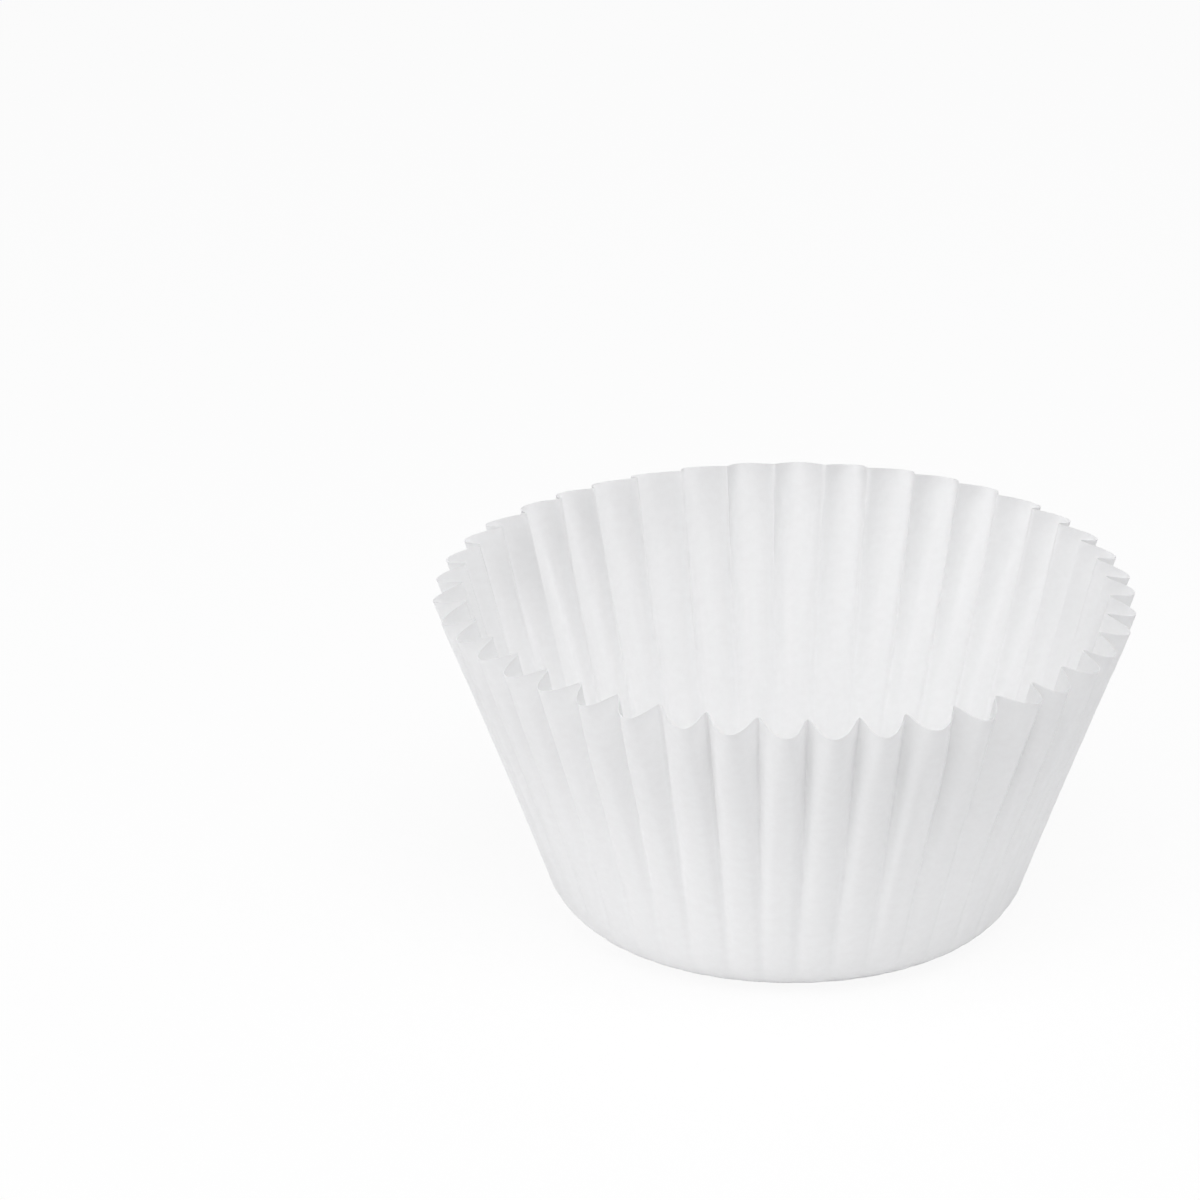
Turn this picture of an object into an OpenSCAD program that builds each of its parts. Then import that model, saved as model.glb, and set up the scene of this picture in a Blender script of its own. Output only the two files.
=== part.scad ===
// Cupcake liner: one disc of thin paper, pressed into a round flat base and a flared, fluted wall.
// Millimetres, +Z up. The origin is the centre of the underside of the base.
// Pressing neither stretches nor shrinks the paper: a circle drawn on the flat disc keeps its length
// in the finished wall. The wall is narrower than that circle, so the spare length stands in flutes,
// and their depth at every height follows from the sizes below.

/* [Base] */
// Diameter of the flat round that the liner stands on
base_flat_d = 40; // [30:1:60]
// Radius of the rounded corner between the base and the wall
corner_r = 8; // [4:0.5:12]

/* [Wall] */
// Length of the straight wall, up its slope from the corner to the rim
wall_length = 36; // [20:1:50]
// Lean of the wall away from upright, in degrees
wall_lean = 19; // [8:1:28]

/* [Flutes] */
// Number of flutes round the wall
flute_count = 42; // [30:2:48]
// How far each inner crease is pinched narrower than the outer lobes, where 0 is an even wave
crease_pinch = 0.6; // [0:0.05:0.7]

/* [Paper] */
// Thickness of the paper
paper_t = 0.06; // [0.04:0.01:0.12]

/* [Hidden] */

// Points along one flute, and bands up the corner and up the wall
flute_steps = 8;
corner_bands = 3;
wall_bands = 4;

flat_r = base_flat_d / 2;
wall_rise = 90 - wall_lean;
corner_length = corner_r * wall_rise * PI / 180;
corner_end = flat_r + corner_length;
ring_points = flute_count * flute_steps;

// Where the middle of the paper runs, by its distance s from the centre of the disc along the paper:
// its steepness, its radius and its height, before the flutes are added
function steepness(s) = s < corner_end ? max(0, s - flat_r) / corner_length * wall_rise : wall_rise;
function mean_r(s) = min(s, flat_r) + corner_r * sin(steepness(s))
    + max(0, s - corner_end) * cos(wall_rise);
function mean_z(s) = paper_t / 2 + corner_r * (1 - cos(steepness(s)))
    + max(0, s - corner_end) * sin(wall_rise);

// A flute is a wave drawn by an angle t that runs from 0 at one inner crease to 360 at the next.
// wave_angle is how far round its flute a point lies, in degrees of t. The pinch draws the points
// near the crease together. wave_stretch is the paper's length along a whole wave over the wave's
// own length, for a wave of a given height.
wave_samples = 36;
function wave_angle(t) = t - crease_pinch * sin(t) * 180 / PI;
function wave_stretch(height) = let(lengths = [for (i = [0.5 : wave_samples])
        let(t = i * 360 / wave_samples) norm([1 - crease_pinch * cos(t), height * sin(t)])])
    lengths * [for (v = lengths) 1] / wave_samples;

// The wave height that takes up a given stretch, found by halving the span it can lie in
function wave_height(stretch, low = 0, high = 8, halvings = 24) =
    let(middle = (low + high) / 2)
    halvings == 0 ? middle
    : wave_stretch(middle) < stretch ? wave_height(stretch, middle, high, halvings - 1)
    : wave_height(stretch, low, middle, halvings - 1);

// Half the depth of the flutes at s. Rings of the disc are s long where the wall is mean_r round.
spare_at_rest = wave_stretch(0);
function half_depth(s) = s <= flat_r ? 0
    : wave_height(spare_at_rest * s / mean_r(s)) * mean_r(s) / flute_count;

// One ring of points on the middle of the paper
function ring(s) = let(depth = half_depth(s), r = mean_r(s), z = mean_z(s), rise = steepness(s))
    [for (i = [0 : ring_points - 1])
        let(
            t = i * 360 / flute_steps,
            angle = wave_angle(t) / flute_count,
            reach = r - depth * cos(t) * sin(rise)
        )
        [reach * cos(angle), reach * sin(angle), z + depth * cos(t) * cos(rise)]];

// Distances of the rings: the edge of the flat, up the corner, then up the wall
ring_distances = [
    for (j = [0 : corner_bands]) flat_r + j / corner_bands * corner_length,
    for (j = [1 : wall_bands]) corner_end + j / wall_bands * wall_length
];
rings = [for (s = ring_distances) ring(s)];
last_ring = len(rings) - 1;

// The way from the middle of the paper to its inner face at a point. It leans so that the paper
// keeps its thickness on both sides of a crease.
function unit(v) = v / norm(v);
function inward(j, i) = j == 0 ? [0, 0, paper_t / 2] : let(
        up = rings[min(j + 1, last_ring)][i] - rings[j - 1][i],
        here = rings[j][i],
        before = here - rings[j][(i + ring_points - 1) % ring_points],
        after = rings[j][(i + 1) % ring_points] - here,
        n1 = unit(cross(before, up)),
        n2 = unit(cross(after, up))
    )
    -(n1 + n2) / (1 + n1 * n2) * paper_t / 2;

// One face of the paper, as all its rings: side is 1 inside the cup and -1 outside
function paper_face(side) = [for (j = [0 : last_ring], i = [0 : ring_points - 1])
    rings[j][i] + side * inward(j, i)];

// Two triangles between points i and i + 1 of two rings, given by their first points
function band(low, high) = [for (i = [0 : ring_points - 1])
    let(k = (i + 1) % ring_points)
    each [[low + i, high + i, high + k], [low + i, high + k, low + k]]];

// The same triangles facing the other way. The inner face is made of these, so that both faces of
// the paper bend along the same lines and stay the paper's thickness apart.
function turned(faces) = [for (f = faces) [f[2], f[1], f[0]]];

module liner() {
    face_points = len(rings) * ring_points;
    outer = [for (j = [0 : last_ring]) j * ring_points];
    inner = [for (j = [0 : last_ring]) face_points + j * ring_points];
    color("whitesmoke")
        polyhedron(
            points = concat(paper_face(-1), paper_face(1)),
            faces = concat(
                [[for (i = [0 : ring_points - 1]) i]],
                [[for (i = [1 : ring_points]) face_points + ring_points - i]],
                [for (j = [1 : last_ring]) each band(outer[j - 1], outer[j])],
                turned([for (j = [1 : last_ring]) each band(inner[j - 1], inner[j])]),
                band(outer[last_ring], inner[last_ring])
            )
        );
}

liner();
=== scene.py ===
"""A white paper cupcake liner, standing on a pale floor in soft light.

The liner is one disc of thin baking paper, pressed into a flat base and a flared, fluted wall.
Every shape here is worked out from the sizes of the part, in millimetres, with the small unevenness
that a pressed sheet of paper has.
"""

import math

import bpy
import numpy as np
from mathutils import Matrix


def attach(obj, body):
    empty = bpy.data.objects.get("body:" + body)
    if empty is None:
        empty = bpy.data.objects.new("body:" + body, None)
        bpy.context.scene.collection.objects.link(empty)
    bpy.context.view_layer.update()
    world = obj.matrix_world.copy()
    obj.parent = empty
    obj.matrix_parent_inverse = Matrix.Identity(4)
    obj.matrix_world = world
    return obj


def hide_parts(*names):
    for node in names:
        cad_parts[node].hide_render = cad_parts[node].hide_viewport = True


MM = 0.001

# Sizes of the liner, as in the part's source
FLAT_R = 20.0
CORNER_R = 8.0
WALL_LENGTH = 36.0
WALL_LEAN = math.radians(19.0)
FLUTES = 42
PAPER_T = 0.06

WALL_RISE = math.pi / 2 - WALL_LEAN
CORNER_END = FLAT_R + CORNER_R * WALL_RISE
BLANK_R = CORNER_END + WALL_LENGTH

# The mould presses the flutes low round the foot. They stand at this share of their depth there, and
# at all of it from this far up the paper.
FOOT_SHARE = 0.30
FOOT_LENGTH = 44.0

# The flutes hold this share of the spare paper. Fine pleats take up the rest.
FLUTE_SHARE = 0.88

# How the section of a flute changes down the wall: distance below the rim, pinch of the creases and
# dent. The dent is the share of a second, doubled wave, which flattens the outer lobes. Over a quarter
# dents them along the middle. The creases are tightest a little below the rim and open towards the foot.
SECTIONS = ((0, 0.38, 0.04), (9, 0.46, 0.24), (22, 0.40, 0.28), (46, 0.25, 0.20))

# No crease is pinched tighter than this
TIGHTEST_PINCH = 0.78

# How uneven the flutes are, each as a typical departure: the place of a crease and the lean of a lobe in
# flutes, and the pinch, the paper held and the dent as shares
CREASE_STRAY = 0.04
LOBE_LEAN = 0.08
PINCH_SPREAD = 0.15
PAPER_SPREAD = 0.04
DENT_SPREAD = 0.30

# How far the cup is out of round at its full height: share of the radius, and the direction in degrees
# of a long side of the oval and of a corner of the three-sided form
FULL_HEIGHT = 40.0
OVAL = (0.013, 112.0)
THREE_SIDED = (0.014, 58.0)

# Fine pleats run up the wall: depth, points that each noise value is averaged over to either side, and
# rings of noise from the base to the rim
PLEAT_DEPTH = 0.016
PLEAT_REACH = 2
PLEAT_RINGS = 4

# Crinkles lie across the wall: depth, how many waves, their spacing and how far they slant
CRINKLE_DEPTH = 0.012
CRINKLES = 90
CRINKLE_SPACING = (2.2, 5.0)
CRINKLE_SLANT = 0.35

# Crimps are short slanting ridges: the deepest, how many, half their length and half their width, slant
# in degrees and share of the greatest depth
CRIMP_DEPTH = 0.07
CRIMPS = 150
CRIMP_LENGTH = (0.8, 2.0)
CRIMP_WIDTH = (0.35, 0.6)
CRIMP_SLANT = (15, 60)
CRIMP_SHARE = (0.3, 1.0)

# One seed gives the same sheet of paper each time
SEED = 42

# Clouds of thicker fibre, and the single fibres between them: spacing, and relief of the fibres
CLOUD_SIZE = 1.0
FIBRE_GAP = 0.3
FIBRE_RELIEF = 0.02

# How far light travels inside the paper
SCATTER_DEPTH = 0.2

# The photograph's view of it, in degrees and millimetres. The base stands right of the middle of the
# view and below it.
VIEW_AZIMUTH = 1.8
VIEW_ELEVATION = 22.75
VIEW_ROLL = 0.47
VIEW_DISTANCE = 1803.0
BASE_RIGHT = 21.58
BASE_BELOW = 35.58
SENSOR = 36.0
LENS = 465.7

# Square soft boxes: name, azimuth, elevation and watts, and the distance and width of all in metres
LAMPS = (
    ("left_soft_box", -57, 21, 0.78),
    ("front_soft_box", -9, 65, 1.60),
    ("right_soft_box", 56, 65, 0.98),
    ("edge_soft_box", 80, 10, 0.14),
)
LAMP_DISTANCE = 0.6
LAMP_WIDTH = 0.45
LAMP_COLOUR = "#ffffff"
ROOM_LIGHT = 0.26
ROOM_COLOUR = "#fbfbff"

# The floor's width in metres, and how white the camera sees it. It lies this many millimetres under the
# liner, because two surfaces in one place would show stripes.
FLOOR_WIDTH = 4.0
FLOOR_WHITE = 0.92
TABLE_GAP = 0.05

# Points of the mesh: round one flute, and rings on the base as shares of it, up the corner and up the
# wall. A fold sharper than the angle keeps its edge in the shading.
FLUTE_STEPS = 18
BASE_RINGS = (0.25, 0.6, 0.85)
CORNER_RINGS = 14
WALL_RINGS = 46
SHARP_ANGLE = 70.0

# Tables of the wave: samples along it, the deepest wave and how many depths
WAVE_SAMPLES = 90
DEEPEST_WAVE = 4.0
WAVE_DEPTHS = 240


def linear(hex_colour):
    """An sRGB hex colour as linear red, green, blue and alpha 1."""
    values = [int(hex_colour[i:i + 2], 16) / 255 for i in (1, 3, 5)]
    return tuple(v / 12.92 if v <= 0.04045 else ((v + 0.055) / 1.055) ** 2.4 for v in values) + (1.0,)


# Shape of the paper

def steepness(s):
    """Slope of the sheet at distance s along it from its centre: 0 on the base, growing evenly round
    the corner, and constant on the wall."""
    return np.clip((s - FLAT_R) / CORNER_R, 0, WALL_RISE)


def mean_radius(s):
    """Radius at distance s: s itself on the flat, then an arc's sine, then the wall's run."""
    return (np.minimum(s, FLAT_R) + CORNER_R * np.sin(steepness(s))
            + np.maximum(0, s - CORNER_END) * math.cos(WALL_RISE))


def mean_height(s):
    """Height at distance s: half the paper on the flat, then one less the arc's cosine, then the
    wall's rise."""
    return (PAPER_T / 2 + CORNER_R * (1 - np.cos(steepness(s)))
            + np.maximum(0, s - CORNER_END) * math.sin(WALL_RISE))


def wave_stretch(height, pinch, dent):
    """Length of a whole wave of the paper over the wave's own width, as the mean of the speed of the
    curve (t - pinch sin t, height (cos t + dent cos 2t))."""
    t = (np.arange(WAVE_SAMPLES) + 0.5) * 2 * math.pi / WAVE_SAMPLES
    fall = np.sin(t) + 2 * dent * np.sin(2 * t)
    return np.mean(np.hypot(1 - pinch * np.cos(t), height[:, None] * fall), axis=1)


def wave_height(stretch, pinch, dent):
    """The height of wave that takes up a given stretch, read back from a table of wave_stretch."""
    heights = np.linspace(0, DEEPEST_WAVE, WAVE_DEPTHS)
    return np.interp(stretch, wave_stretch(heights, pinch, dent), heights)


def smooth(x):
    """The smooth step 3 x^2 - 2 x^3 from 0 to 1."""
    x = np.clip(x, 0, 1)
    return x * x * (3 - 2 * x)


def soft_ring(rng, count, reach):
    """Smooth random numbers round a closed ring, from -1 to 1: noise averaged over reach places."""
    raw = rng.normal(size=count)
    window = np.hanning(2 * reach + 3)
    wrapped = np.concatenate([raw[-reach - 1:], raw, raw[:reach + 1]])
    ring = np.convolve(wrapped, window / window.sum(), mode="valid")
    return ring / np.abs(ring).max()


def sheet(s, u, rng):
    """The middle of the paper at distances s (rows) and flutes u (columns), in millimetres.

    Along one flute t runs from 0 at an inner crease to a whole turn at the next. The point lies
    (t - pinch sin t) round the flute. It lies the flute's depth times (cos t + dent (cos 2t - 1)) inside
    the mean sheet. The depth is what takes up the spare paper: a ring of the flat disc, 2 pi s long, has
    to fit round a wall that is only 2 pi r round. Each flute has its own width, pinch, lean, dent and
    share of paper."""
    r, z, rise = mean_radius(s), mean_height(s), steepness(s)
    flute = np.floor(u).astype(int) % FLUTES
    following = (flute + 1) % FLUTES
    t = 2 * math.pi * (u - np.floor(u))
    up = np.clip((s - FLAT_R) / (BLANK_R - FLAT_R), 0, 1)[:, None]
    stand = FOOT_SHARE + (1 - FOOT_SHARE) * smooth((s - FLAT_R) / FOOT_LENGTH)[:, None]

    # Creases stand a little off their even places, and wander a little on their way up
    at_foot, at_rim = CREASE_STRAY * rng.normal(size=(2, FLUTES))
    crease = at_rim * up + at_foot * (1 - up)
    start, width = crease[:, flute], 1 + crease[:, following] - crease[:, flute]
    places, pinches, dents = np.array(SECTIONS).T
    row_pinch = np.interp(BLANK_R - s, places, pinches)
    row_dent = np.interp(BLANK_R - s, places, dents)
    own = 1 + PINCH_SPREAD * rng.normal(size=FLUTES)
    own = own[flute] * (1 + np.cos(t)) / 2 + own[following] * (1 - np.cos(t)) / 2
    pinch = np.minimum(row_pinch[:, None] * own, TIGHTEST_PINCH)
    lean = LOBE_LEAN * rng.normal(size=FLUTES)[flute] * np.sin(t / 2) ** 2 * up
    turn = np.floor(u) + start + width * (t - pinch * np.sin(t)) / (2 * math.pi) + lean
    angle = turn * 2 * math.pi / FLUTES

    # A flute that holds more paper stands deeper
    share = 1 + PAPER_SPREAD * rng.normal(size=FLUTES)[flute]
    stretch = 1 + (s / r - 1)[:, None] * FLUTE_SHARE * (share / width) ** 2
    depth = np.stack([wave_height(*row) for row in zip(stretch, row_pinch, row_dent)])
    depth = depth * stand * width * r[:, None] / FLUTES
    dent = row_dent[:, None] * (1 + DENT_SPREAD * rng.normal(size=FLUTES)[flute])
    inside = depth * (np.cos(t) + dent * (np.cos(2 * t) - 1))

    reach = r[:, None] - inside * np.sin(rise)[:, None]
    height = z[:, None] + inside * np.cos(rise)[:, None]
    return out_of_round(reach, height, angle)


def out_of_round(reach, height, angle):
    """Lets the cup go slightly out of round with its height and returns x, y, z. The radius grows by a
    cosine of twice the angle for the oval, and of three times the angle for the three-sided form."""
    bulge = 0
    for sides, (amount, toward) in ((2, OVAL), (3, THREE_SIDED)):
        bulge = bulge + amount * np.cos(sides * (angle - math.radians(toward)))
    reach = reach * (1 + height / FULL_HEIGHT * bulge)
    return np.stack([reach * np.cos(angle), reach * np.sin(angle), height], axis=-1)


def unit(v):
    """Vectors made one long."""
    return v / np.linalg.norm(v, axis=-1, keepdims=True)


def outward(points):
    """From the middle of the paper to the plane one millimetre outside it. Each point leans between
    the two normals of the paper beside it, as their sum over one and their dot product, so that a
    crease keeps its thickness. The limit keeps a paper fold from growing a spike."""
    sharpest = -0.8
    up = np.gradient(points, axis=0)
    before = points - np.roll(points, 1, axis=1)
    n1 = unit(np.cross(before, up))
    n2 = unit(np.cross(np.roll(before, -1, axis=1), up))
    dot = np.sum(n1 * n2, axis=-1, keepdims=True)
    return (n1 + n2) / (1 + np.maximum(dot, sharpest))


def unevenness(points, s, rng):
    """How far the paper stands out of its smooth shape, in millimetres, on the wall and the corner.

    Fine pleats are smooth random rings at a few heights, blended between. Crinkles are plane waves
    through space that run mostly upwards, so that they lie across the wall. Crimps are short
    slanting ridges, each a bell curve along and a bell's slope across."""
    rows, columns = points.shape[:2]
    up = np.clip((s - FLAT_R) / (BLANK_R - FLAT_R), 0, 1)

    rings = np.stack([soft_ring(rng, columns, PLEAT_REACH) for _ in range(PLEAT_RINGS)])
    place = up * (PLEAT_RINGS - 1)
    low = np.minimum(place.astype(int), PLEAT_RINGS - 2)
    blend = smooth(place - low)[:, None]
    relief = PLEAT_DEPTH * (rings[low] * (1 - blend) + rings[low + 1] * blend)

    for _ in range(CRINKLES):
        wave = 2 * math.pi / rng.uniform(*CRINKLE_SPACING)
        sideways = rng.normal(size=2) * CRINKLE_SLANT
        steps = points @ (wave * np.array([sideways[0], sideways[1], 1.0]))
        relief += CRINKLE_DEPTH / math.sqrt(CRINKLES) * np.cos(steps + rng.uniform(0, 2 * math.pi))

    round_by = np.cumsum(np.linalg.norm(points - np.roll(points, 1, axis=1), axis=-1), axis=1)
    for _ in range(CRIMPS):
        at_row = rng.integers(rows)
        along = rng.uniform(*CRIMP_LENGTH)
        across = rng.uniform(*CRIMP_WIDTH)
        slant = math.radians(rng.uniform(*CRIMP_SLANT)) * rng.choice((-1, 1))
        side = round_by - round_by[at_row, rng.integers(columns)]
        above = (s - s[at_row])[:, None]
        a = side * math.cos(slant) + above * math.sin(slant)
        b = above * math.cos(slant) - side * math.sin(slant)
        ridge = np.exp(-(a / along) ** 2 - (b / across) ** 2) * b / across
        relief += CRIMP_DEPTH * rng.uniform(*CRIMP_SHARE) * ridge
    return relief * smooth((s - FLAT_R) / CORNER_R)[:, None]


def build_liner():
    """One closed mesh: the outer face and the inner face of the paper as grids of rings, a point at
    the centre of each, and a strip of cut edge that joins them at the rim."""
    rng = np.random.default_rng(SEED)
    s = np.concatenate([
        np.array(BASE_RINGS) * FLAT_R,
        np.linspace(FLAT_R, CORNER_END, CORNER_RINGS, endpoint=False),
        np.linspace(CORNER_END, BLANK_R, WALL_RINGS),
    ])
    columns = FLUTES * FLUTE_STEPS
    u = np.arange(columns) / FLUTE_STEPS
    middle = sheet(s, u, rng)
    middle = middle + unit(outward(middle)) * unevenness(middle, s, rng)[:, :, None]
    offset = outward(middle) * PAPER_T / 2
    faces = [middle + offset, middle - offset]
    rows = len(s)

    verts = np.concatenate([faces[0].reshape(-1, 3), faces[1].reshape(-1, 3),
                            [[0, 0, 0], [0, 0, PAPER_T]]]) * MM
    i = np.arange(columns)
    k = (i + 1) % columns
    j = np.arange(rows - 1)[:, None] * columns
    quads = np.stack([j + i, j + k, j + columns + k, j + columns + i], axis=-1).reshape(-1, 4)
    inner = rows * columns
    rim = (rows - 1) * columns
    quads = np.concatenate([
        quads,
        inner + quads[:, [0, 3, 2, 1]],
        np.stack([rim + i, rim + k, inner + rim + k, inner + rim + i], axis=-1),
    ])
    centre = 2 * rows * columns
    fans = np.concatenate([
        np.stack([k, i, np.full(columns, centre)], axis=-1),
        np.stack([inner + i, inner + k, np.full(columns, centre + 1)], axis=-1),
    ])
    mesh = bpy.data.meshes.new("liner_paper")
    mesh.from_pydata(verts.tolist(), [], quads.tolist() + fans.tolist())
    mesh.validate()
    mesh.shade_smooth()
    mesh.set_sharp_from_angle(angle=math.radians(SHARP_ANGLE))
    piece = bpy.data.objects.new("liner_paper", mesh)
    bpy.context.scene.collection.objects.link(piece)
    return piece


# Materials

def add(tree, kind, links=None, **settings):
    """Adds a node, sets its properties and its inputs by name, and links what feeds it."""
    node = tree.nodes.new(kind)
    for name, value in settings.items():
        label = name.replace("_", " ")
        if label in node.inputs:
            node.inputs[label].default_value = value
        elif name in node.inputs:
            node.inputs[name].default_value = value
        else:
            setattr(node, name, value)
    for name, source in (links or {}).items():
        tree.links.new(source, node.inputs[name])
    return node


def baking_paper():
    """Bleached greaseproof baking paper, pressed dry: matt white, slightly cloudy where the fibres
    lie thicker, with light passing through it."""
    material = bpy.data.materials.new("bleached_baking_paper")
    material.use_nodes = True
    tree = material.node_tree
    shader = tree.nodes["Principled BSDF"]
    place = add(tree, "ShaderNodeTexCoord")
    clouds = add(tree, "ShaderNodeTexNoise", {"Vector": place.outputs["Object"]},
                 Scale=1 / (CLOUD_SIZE * MM), Detail=3.0, Roughness=0.6)
    fibres = add(tree, "ShaderNodeTexNoise", {"Vector": place.outputs["Object"]},
                 Scale=1 / (FIBRE_GAP * MM), Detail=2.0, Roughness=0.5)
    spread = add(tree, "ShaderNodeMapRange", {"Value": clouds.outputs["Fac"]},
                 From_Min=0.35, From_Max=0.65)
    tint = add(tree, "ShaderNodeMix", {"Factor": spread.outputs["Result"]}, data_type="RGBA")
    tint.inputs["A"].default_value = linear("#fcfcfc")
    tint.inputs["B"].default_value = linear("#ffffff")
    relief = add(tree, "ShaderNodeBump", {"Height": fibres.outputs["Fac"]},
                 Strength=0.2, Distance=FIBRE_RELIEF * MM)
    tree.links.new(tint.outputs["Result"], shader.inputs["Base Color"])
    tree.links.new(relief.outputs["Normal"], shader.inputs["Normal"])
    shader.inputs["Roughness"].default_value = 0.6
    shader.inputs["IOR"].default_value = 1.45
    shader.inputs["Specular IOR Level"].default_value = 0.3
    shader.inputs["Subsurface Weight"].default_value = 1.0
    shader.inputs["Subsurface Scale"].default_value = SCATTER_DEPTH * MM
    shader.inputs["Subsurface Radius"].default_value = (1.0, 1.0, 1.0)
    return material


def pale_floor():
    """A matt white studio floor. The camera sees it close to pure white, but it still takes the
    liner's shadow and throws its own light as a plain white surface does."""
    material = bpy.data.materials.new("white_studio_floor")
    material.use_nodes = True
    tree = material.node_tree
    shader = tree.nodes["Principled BSDF"]
    shader.inputs["Base Color"].default_value = linear("#fafafa")
    shader.inputs["Roughness"].default_value = 0.9
    shader.inputs["Specular IOR Level"].default_value = 0.0
    seen = add(tree, "ShaderNodeLightPath")
    share = add(tree, "ShaderNodeMath", {0: seen.outputs["Is Camera Ray"]}, operation="MULTIPLY")
    share.inputs[1].default_value = FLOOR_WHITE
    glow = add(tree, "ShaderNodeEmission", Strength=1.0)
    both = add(tree, "ShaderNodeMixShader", {"Fac": share.outputs[0]})
    tree.links.new(shader.outputs["BSDF"], both.inputs[1])
    tree.links.new(glow.outputs["Emission"], both.inputs[2])
    tree.links.new(both.outputs["Shader"], tree.nodes["Material Output"].inputs["Surface"])
    return material


# Studio

def build_floor():
    """A square floor at the height of the table."""
    half = FLOOR_WIDTH / 2
    low = -TABLE_GAP * MM
    mesh = bpy.data.meshes.new("studio_floor")
    corners = [(-half, -half, low), (half, -half, low), (half, half, low), (-half, half, low)]
    mesh.from_pydata(corners, [], [(0, 1, 2, 3)])
    mesh.materials.append(pale_floor())
    floor = bpy.data.objects.new("studio_floor", mesh)
    bpy.context.scene.collection.objects.link(floor)


def direction(azimuth, elevation):
    """The way back to a viewer at an azimuth and elevation in degrees, as a unit vector."""
    a, e = math.radians(azimuth), math.radians(elevation)
    return np.array([math.sin(a) * math.cos(e), -math.cos(a) * math.cos(e), math.sin(e)])


def place_at(thing, azimuth, elevation, distance, roll=0.0, right_by=0.0, up_by=0.0):
    """Puts a camera or lamp at a distance from the middle of the base, looking back that way, then
    rolls it and moves it right and up in its own view."""
    back = direction(azimuth, elevation)
    level = np.array([math.cos(math.radians(azimuth)), math.sin(math.radians(azimuth)), 0.0])
    above = np.cross(back, level)
    c, s = math.cos(math.radians(roll)), math.sin(math.radians(roll))
    right, up = c * level + s * above, c * above - s * level
    thing.rotation_euler = Matrix((right, up, back)).transposed().to_euler()
    thing.location = back * distance + right * right_by + up * up_by


def light_studio():
    """Square soft boxes round the liner, in a white room that fills in the rest."""
    for name, azimuth, elevation, watts in LAMPS:
        light = bpy.data.lights.new(name, "AREA")
        light.shape = "SQUARE"
        light.size = LAMP_WIDTH
        light.energy = watts
        light.color = linear(LAMP_COLOUR)[:3]
        lamp = bpy.data.objects.new(name, light)
        bpy.context.scene.collection.objects.link(lamp)
        place_at(lamp, azimuth, elevation, LAMP_DISTANCE)
    world = bpy.data.worlds.new("white_room")
    bpy.context.scene.world = world
    world.use_nodes = True
    tree = world.node_tree
    room = tree.nodes["Background"]
    room.inputs["Color"].default_value = linear(ROOM_COLOUR)
    room.inputs["Strength"].default_value = ROOM_LIGHT
    seen = add(tree, "ShaderNodeLightPath")
    direct = add(tree, "ShaderNodeMath", operation="MAXIMUM",
                 links={0: seen.outputs["Is Camera Ray"], 1: seen.outputs["Is Glossy Ray"]})
    any_seen = add(tree, "ShaderNodeMath", operation="MAXIMUM",
                   links={0: direct.outputs[0], 1: seen.outputs["Is Transmission Ray"]})
    white = add(tree, "ShaderNodeBackground", Strength=1.0)
    both = add(tree, "ShaderNodeMixShader", {"Fac": any_seen.outputs[0]})
    tree.links.new(room.outputs[0], both.inputs[1])
    tree.links.new(white.outputs[0], both.inputs[2])
    tree.links.new(both.outputs[0], tree.nodes["World Output"].inputs["Surface"])


def place_camera():
    """The camera of the photograph's view, level with its roll, and moved so that the liner stands
    where it does there."""
    data = bpy.data.cameras.new("camera")
    data.sensor_width = SENSOR
    data.lens = LENS
    data.clip_start = 0.1
    data.clip_end = 20.0
    camera = bpy.data.objects.new("camera", data)
    bpy.context.scene.collection.objects.link(camera)
    place_at(camera, VIEW_AZIMUTH, VIEW_ELEVATION, VIEW_DISTANCE * MM, VIEW_ROLL,
             -BASE_RIGHT * MM, BASE_BELOW * MM)
    bpy.context.scene.camera = camera


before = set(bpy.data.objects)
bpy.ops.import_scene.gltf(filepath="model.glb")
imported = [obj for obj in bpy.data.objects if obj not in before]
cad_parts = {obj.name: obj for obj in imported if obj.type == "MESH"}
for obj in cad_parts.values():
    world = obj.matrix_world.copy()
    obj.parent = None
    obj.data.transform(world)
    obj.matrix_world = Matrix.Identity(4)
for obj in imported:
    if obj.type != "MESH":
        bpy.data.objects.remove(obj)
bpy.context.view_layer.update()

bpy.context.scene.view_settings.view_transform = "Standard"
place_camera()
light_studio()
build_floor()

liner = build_liner()
liner.data.materials.append(baking_paper())
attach(liner, "root")
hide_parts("liner")
